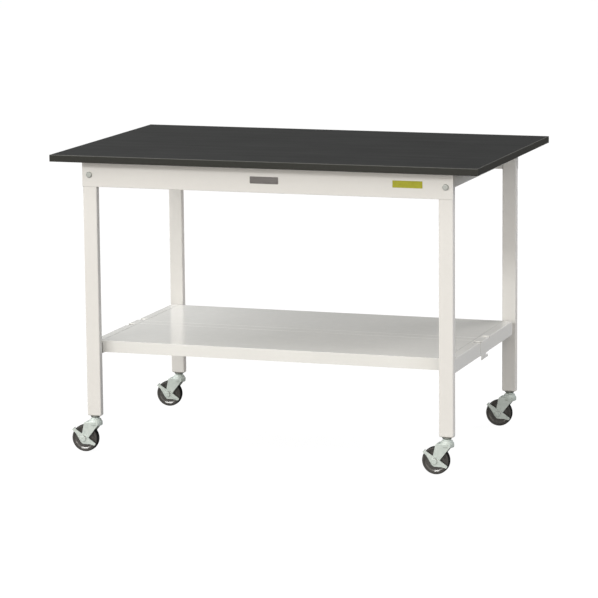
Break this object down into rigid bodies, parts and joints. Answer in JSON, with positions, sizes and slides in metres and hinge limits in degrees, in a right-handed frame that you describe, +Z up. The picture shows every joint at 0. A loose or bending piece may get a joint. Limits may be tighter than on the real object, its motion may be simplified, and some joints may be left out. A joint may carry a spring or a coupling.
{
  "type": "mobile lab table",
  "caption": "Mobile work table: dark laminate top on a white tube frame with a low folded-sheet shelf, on swivel casters that have brake pedals.",
  "frame": {"origin": "centre of the floor rectangle under the table, at floor height", "axes": "+X along the length to the right as seen from the front, +Y to the rear, +Z up"},
  "size_m": [1.2, 0.75, 0.826],
  "materials": {
    "laminate_dark": "fine matt high-pressure laminate",
    "laminate_back": "matt balancing laminate",
    "edge_dark": "satin edge banding",
    "board_core": "raw particle board",
    "frame_white": "off-white powder coat",
    "shelf_white": "off-white glossy enamel",
    "cap_white": "off-white moulded plastic",
    "plate_silver": "plain satin plate",
    "label_yellow": "plain film",
    "zinc": "bright zinc plate",
    "bolt_zinc": "dull zinc plate",
    "stem_steel": "dull zinc plate",
    "plain_steel": "plain zinc plate",
    "ball_steel": "polished balls",
    "tyre_rubber": "black rubber",
    "wheel_grey": "dark grey moulded plastic"
  },
  "bodies": {
    "root": {"apron_bolts": "bolt_zinc", "apron_front": "frame_white", "apron_nuts": "plain_steel", "apron_rear": "frame_white", "blank_label": "label_yellow", "blank_plate": "plate_silver", "caster_stems": "stem_steel", "edge_band_front": "edge_dark", "edge_band_left": "edge_dark", "edge_band_rear": "edge_dark", "edge_band_right": "edge_dark", "leg_end_caps": "cap_white", "leg_front_left": "frame_white", "leg_front_right": "frame_white", "leg_rear_left": "frame_white", "leg_rear_right": "frame_white", "shelf_center_plank": "shelf_white", "shelf_cleat_screws": "plain_steel", "shelf_cleats": "plain_steel", "shelf_side_rail_left": "frame_white", "shelf_side_rail_right": "frame_white", "shelf_tray_front": "shelf_white", "shelf_tray_rear": "shelf_white", "stem_inserts": "plain_steel", "top_side_tube_left": "frame_white", "top_side_tube_right": "frame_white", "worktop_backing": "laminate_back", "worktop_core": "board_core", "worktop_screws": "plain_steel", "worktop_surface": "laminate_dark"},
    "swivel_fl": {"fl_fork": "zinc", "fl_swivel_balls": "ball_steel", "fl_axle": "zinc", "fl_cam_bush": "plain_steel"},
    "wheel_fl": {"fl_wheel_hub": "wheel_grey", "fl_tyre": "tyre_rubber"},
    "brake_fl": {"fl_brake_pedal": "zinc"},
    "swivel_fr": {"fr_fork": "zinc", "fr_swivel_balls": "ball_steel", "fr_axle": "zinc", "fr_cam_bush": "plain_steel"},
    "wheel_fr": {"fr_wheel_hub": "wheel_grey", "fr_tyre": "tyre_rubber"},
    "brake_fr": {"fr_brake_pedal": "zinc"},
    "swivel_rl": {"rl_fork": "zinc", "rl_swivel_balls": "ball_steel", "rl_axle": "zinc", "rl_cam_bush": "plain_steel"},
    "wheel_rl": {"rl_wheel_hub": "wheel_grey", "rl_tyre": "tyre_rubber"},
    "brake_rl": {"rl_brake_pedal": "zinc"},
    "swivel_rr": {"rr_fork": "zinc", "rr_swivel_balls": "ball_steel", "rr_axle": "zinc", "rr_cam_bush": "plain_steel"},
    "wheel_rr": {"rr_wheel_hub": "wheel_grey", "rr_tyre": "tyre_rubber"},
    "brake_rr": {"rr_brake_pedal": "zinc"}
  },
  "joints": [
    {"name": "fl_swivel", "type": "hinge", "parent": "root", "child": "swivel_fl", "pos_m": [-0.502, -0.322, 0.09], "axis": [0, 0, 1], "continuous": true},
    {"name": "fl_roll", "type": "hinge", "parent": "swivel_fl", "child": "wheel_fl", "pos_m": [-0.532, -0.322, 0.0375], "axis": [0, 1, 0], "continuous": true},
    {"name": "fl_brake", "type": "hinge", "parent": "swivel_fl", "child": "brake_fl", "pos_m": [-0.53029, -0.322, 0.03946], "axis": [0, -1, 0], "range_deg": [0, 18]},
    {"name": "fr_swivel", "type": "hinge", "parent": "root", "child": "swivel_fr", "pos_m": [0.502, -0.322, 0.09], "axis": [0, 0, 1], "continuous": true},
    {"name": "fr_roll", "type": "hinge", "parent": "swivel_fr", "child": "wheel_fr", "pos_m": [0.472, -0.322, 0.0375], "axis": [0, 1, 0], "continuous": true},
    {"name": "fr_brake", "type": "hinge", "parent": "swivel_fr", "child": "brake_fr", "pos_m": [0.47371, -0.322, 0.03946], "axis": [0, -1, 0], "range_deg": [0, 18]},
    {"name": "rl_swivel", "type": "hinge", "parent": "root", "child": "swivel_rl", "pos_m": [-0.502, 0.322, 0.09], "axis": [0, 0, 1], "continuous": true},
    {"name": "rl_roll", "type": "hinge", "parent": "swivel_rl", "child": "wheel_rl", "pos_m": [-0.532, 0.322, 0.0375], "axis": [0, 1, 0], "continuous": true},
    {"name": "rl_brake", "type": "hinge", "parent": "swivel_rl", "child": "brake_rl", "pos_m": [-0.53029, 0.322, 0.03946], "axis": [0, -1, 0], "range_deg": [0, 18]},
    {"name": "rr_swivel", "type": "hinge", "parent": "root", "child": "swivel_rr", "pos_m": [0.502, 0.322, 0.09], "axis": [0, 0, 1], "continuous": true},
    {"name": "rr_roll", "type": "hinge", "parent": "swivel_rr", "child": "wheel_rr", "pos_m": [0.472, 0.322, 0.0375], "axis": [0, 1, 0], "continuous": true},
    {"name": "rr_brake", "type": "hinge", "parent": "swivel_rr", "child": "brake_rr", "pos_m": [0.47371, 0.322, 0.03946], "axis": [0, -1, 0], "range_deg": [0, 18]}
  ]
}
